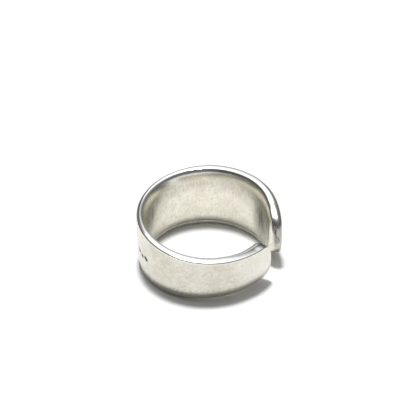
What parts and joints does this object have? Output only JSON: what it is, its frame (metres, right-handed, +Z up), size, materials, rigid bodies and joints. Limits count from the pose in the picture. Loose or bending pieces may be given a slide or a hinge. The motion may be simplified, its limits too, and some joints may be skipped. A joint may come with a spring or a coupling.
{
  "type": "spoon ring",
  "caption": "Open finger ring bent from one tapered flat silver bar, broad at one rounded tip and narrow at the other, lying on its side.",
  "frame": {"origin": "centre of the bounding box at its base, on the surface that the ring rests on", "axes": "+Z up and out of the ring's upper side, +Y to the back of the ring, +X to the side where its broad tip ends"},
  "size_m": [0.0216, 0.0212, 0.0107],
  "materials": {
    "silver": "worn satin silver with polished edges"
  },
  "bodies": {
    "root": {"band": "silver"}
  },
  "joints": []
}
